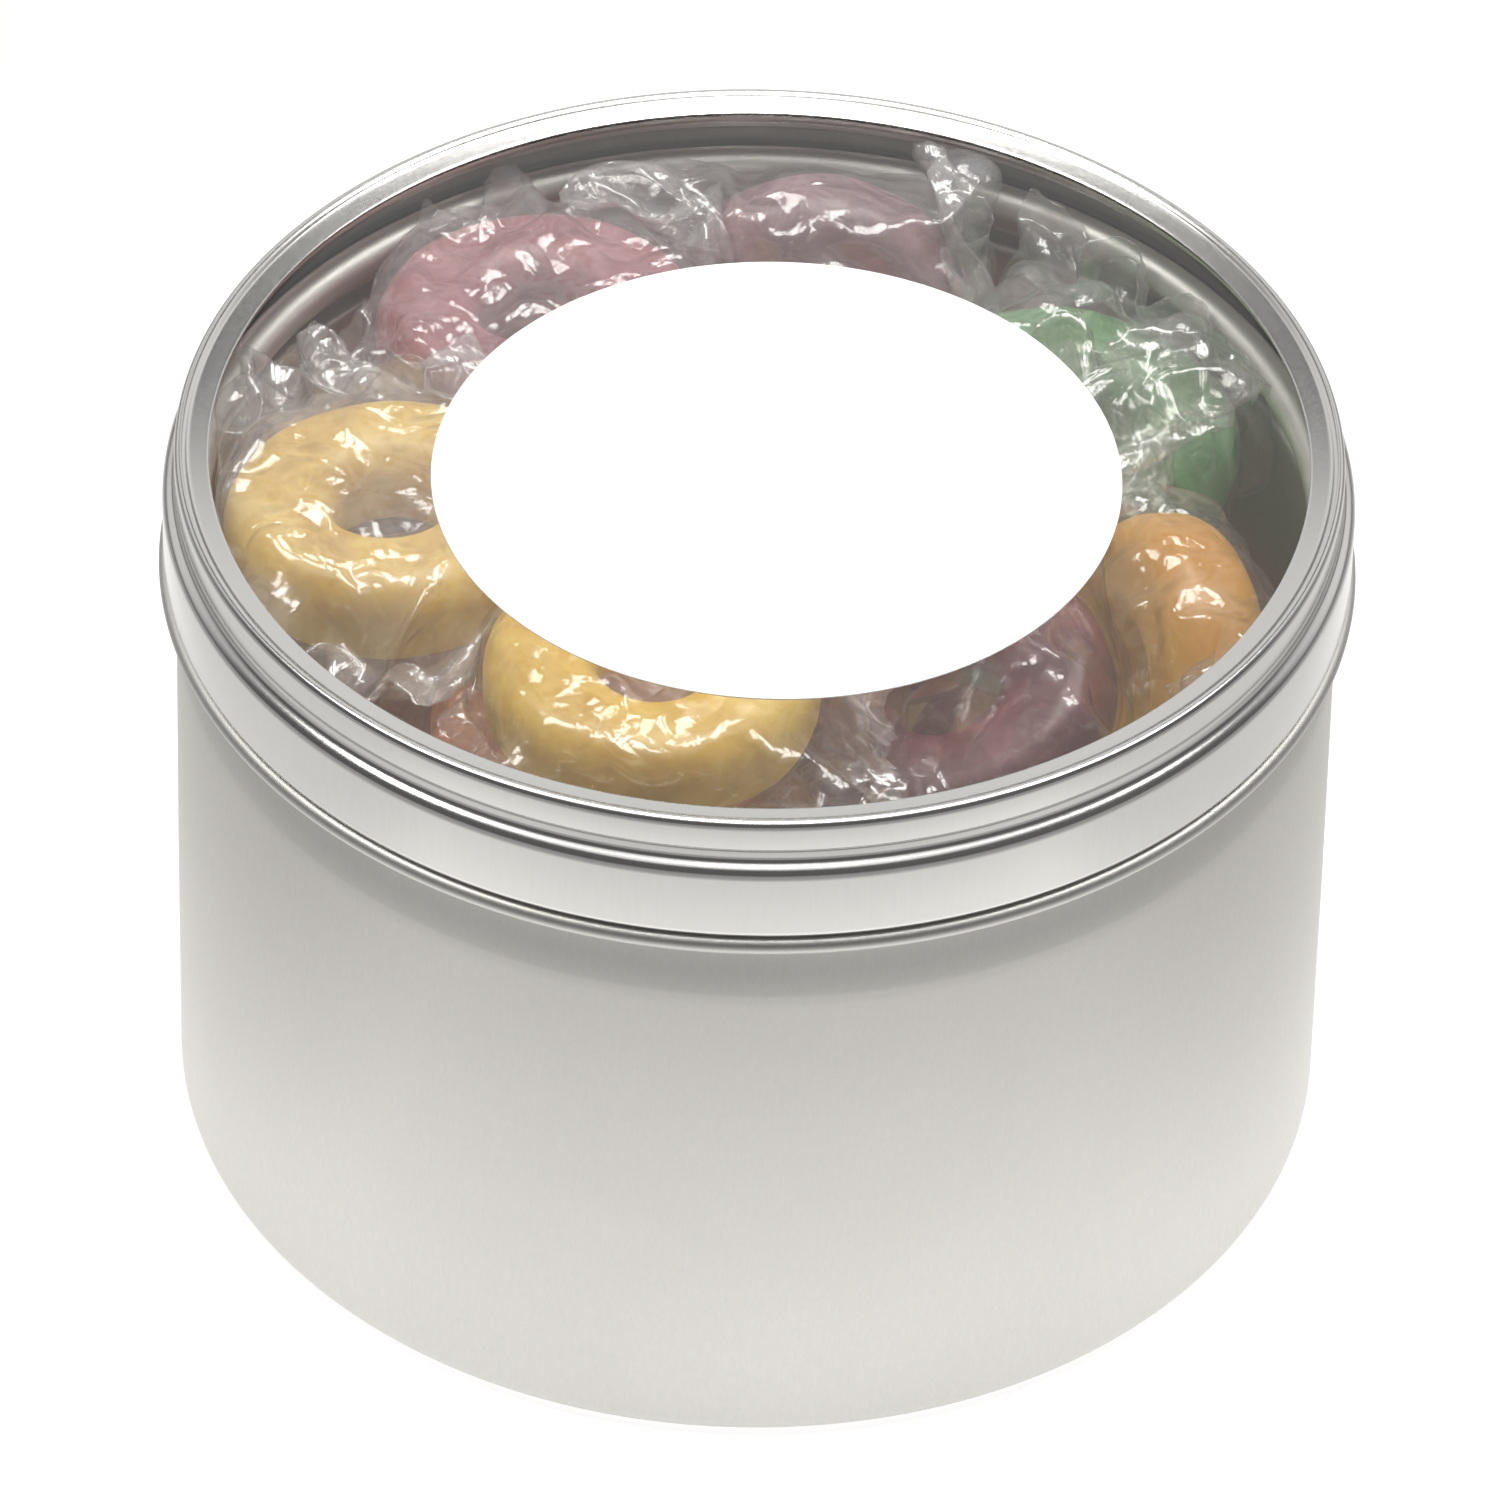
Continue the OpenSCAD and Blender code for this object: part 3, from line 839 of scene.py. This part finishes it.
for k, sp in enumerate(WRAPS):
    # the finest wrinkles are smoothed away
    for _ in range(3):
        G = grids[k]
        round_ = (np.roll(G, 1, axis=1) + np.roll(G, -1, axis=1)) / 2
        G = G * 0.5 + round_ * 0.5
        G[1:-1] = G[1:-1] * 0.6 + (G[:-2] + G[2:]) * 0.2
        P = G.reshape(-1, 3)
        for n, M, c in solids:
            push_out(P, M, c, 0.16 if n == sp["name"] else 0.4, n == sp["name"])
        walls(P)
        grids[k] = P.reshape(NV, NU, 3)
    P, faces = film_mesh(sp["name"], grids[k], 3.2, dvs[k], dus[k], k)
    obj = new_object("wrapper_film_" + sp["name"], P, faces)
    obj.data.materials.append(mat_film_tight if sp["name"] in TIGHT else mat_film)
    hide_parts("wrapper_" + sp["name"])
    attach(obj, "tin")

for name, obj in nodes.items():
    if name.startswith("wrapper"):
        obj.data.materials.clear()
        obj.data.materials.append(mat_film)

# ------------------------------------------------------------------ camera
phi = math.radians(1.32)
look = Vector((-0.00021, -0.5672, 0.5149))
e = math.radians(40.65)
fw = Vector((0, math.cos(e), -math.sin(e)))
rt, up = Vector((1, 0, 0)), Vector((0, math.sin(e), math.cos(e)))
r2 = math.cos(phi) * rt + math.sin(phi) * up
u2 = -math.sin(phi) * rt + math.cos(phi) * up
cam_data = bpy.data.cameras.new("camera")
cam = bpy.data.objects.new("camera", cam_data)
scene.collection.objects.link(cam)
cam.matrix_world = Matrix(((r2.x, u2.x, -fw.x, look.x), (r2.y, u2.y, -fw.y, look.y), (r2.z, u2.z, -fw.z, look.z), (0, 0, 0, 1)))
cam_data.sensor_width = 36
cam_data.lens = 36 * 10517 / 1500
cam_data.clip_start = 0.01
cam_data.clip_end = 20
scene.camera = cam

# ------------------------------------------------------------------ floor, light
floor_mesh = bpy.data.meshes.new("floor")
s = 2.5
floor_mesh.from_pydata([(-s, -s, 0), (s, -s, 0), (s, s, 0), (-s, s, 0)], [], [(0, 1, 2, 3)])
floor = bpy.data.objects.new("floor", floor_mesh)
floor.location.z = -0.00002
scene.collection.objects.link(floor)
m, t = material("floor_painted_light_pool")
tc = t.t.nodes.new("ShaderNodeTexCoord")
fs = t.t.nodes.new("ShaderNodeSeparateXYZ")
t.t.links.new(tc.outputs["Object"], fs.inputs[0])
fx, fy = fs.outputs["X"], fs.outputs["Y"]
# painted pool of light: white under the tin, fading to grey all round it
ahead = t.math("MAXIMUM", t.math("MULTIPLY", fy, -1.0), 0.0)
away = t.math("SQRT", t.math("ADD", t.math("MULTIPLY", fx, fx), t.math("MULTIPLY", ahead, ahead)))
away = t.math("SUBTRACT", away, t.math("MULTIPLY", fx, 0.02))
to_side = t.maprange(away, 0.056, 0.140, 0.0, 1.0)
beside = t.maprange(t.math("ABSOLUTE", fx), 0.042, 0.085, 0.0, 0.68)
to_side = t.math("MAXIMUM", to_side, beside)
to_far = t.maprange(fy, 0.10, 0.30, 0.0, 0.8)
fade = t.math("MAXIMUM", to_side, to_far, clamp=True)
painted_pool_col = t.ramp(fade, [(0.0, (1.0, 0.995, 0.985)), (0.5, (0.60, 0.595, 0.585)), (0.8, (0.40, 0.396, 0.39)), (1.0, (0.24, 0.238, 0.235))])
p = t.add("BsdfPrincipled", Roughness=0.7)
t.set(p, "Base Color", t.mixcolor(1.0, painted_pool_col, (0.3, 0.3, 0.3), "MULTIPLY"))
# painted light: the floor glows with the same white-to-grey pool, though it is no lamp
t.set(p, "Emission Color", painted_pool_col)
p.inputs["Emission Strength"].default_value = 0.85
t.out(p)
floor_mesh.materials.append(m)


def area(name, loc, target, size, power, color=(1, 1, 1), shape="RECTANGLE", size_y=None, spread=None):
    data = bpy.data.lights.new(name, "AREA")
    data.shape = shape
    data.size = size
    data.size_y = size_y or size
    data.energy = power
    data.color = color
    if spread:
        data.spread = math.radians(spread)
    o = bpy.data.objects.new(name, data)
    o.location = loc
    o.rotation_euler = (Vector(target) - Vector(loc)).to_track_quat("-Z", "Y").to_euler()
    scene.collection.objects.link(o)
    return o


area("key_top", (0.02, 0.02, 0.75), (0, 0, 0.03), 0.30, 2.7, (1, 0.985, 0.96))
area("spot_back", (0.0, 0.26, 0.72), (0, 0, 0.05), 0.24, 1.5, (1, 0.985, 0.96))
area("spot_left", (-0.34, 0.05, 0.66), (0, 0, 0.05), 0.24, 1.6, (1, 0.985, 0.96))
area("spot_right", (0.32, 0.12, 0.66), (0, 0, 0.05), 0.24, 1.7, (1, 0.985, 0.96))

world = bpy.data.worlds.new("studio")
scene.world = world
world.use_nodes = True
wt = Tree(world)
tc = wt.t.nodes.new("ShaderNodeTexCoord")
sep = wt.t.nodes.new("ShaderNodeSeparateXYZ")
wt.t.links.new(tc.outputs["Generated"], sep.inputs[0])
# dim walls, a paler back wall with a dim gap on each side, a bright ceiling
X, Y, Z = (sep.outputs[k] for k in "XYZ")


def near(direction, inner, outer):
    """1 inside a cone round a direction, 0 outside it."""
    v = Vector(direction).normalized()
    node = wt.t.nodes.new("ShaderNodeVectorMath")
    node.operation = "DOT_PRODUCT"
    wt.t.links.new(tc.outputs["Generated"], node.inputs[0])
    node.inputs[1].default_value = v
    return wt.maprange(node.outputs["Value"], math.cos(math.radians(outer)), math.cos(math.radians(inner)), 0.0, 1.0)


back = wt.math("MULTIPLY", wt.maprange(Y, 0.2, 0.6, 0.0, 1.0), wt.maprange(Z, 0.05, 0.24, 0.0, 0.60))
ceiling = wt.maprange(Z, 0.82, 0.93, 0.0, 0.75)
value = wt.math("ADD", wt.math("ADD", back, ceiling), 0.10)
gaps = wt.math("MAXIMUM", near((-0.220, 0.640, 0.736), 9, 14), near((0.228, 0.660, 0.716), 8, 13))
value = wt.math("MULTIPLY", value, wt.math("SUBTRACT", 1.0, wt.math("MULTIPLY", gaps, 0.93)))
value = wt.math("MULTIPLY", value, wt.maprange(X, -1.0, 1.0, 0.9, 1.04))
wcol2 = wt.mixcolor(1.0, (1.0, 0.995, 0.985), value, "MULTIPLY")
bg = wt.t.nodes.new("ShaderNodeBackground")
wt.t.links.new(wcol2, bg.inputs["Color"])
bg.inputs["Strength"].default_value = 1.0
wo = wt.t.nodes.new("ShaderNodeOutputWorld")
wt.t.links.new(bg.outputs[0], wo.inputs["Surface"])

scene.view_settings.view_transform = "Standard"
scene.cycles.transparent_max_bounces = 32
scene.cycles.max_bounces = 8
scene.cycles.diffuse_bounces = 3
scene.cycles.glossy_bounces = 5
scene.cycles.transmission_bounces = 4
scene.cycles.use_denoising = True
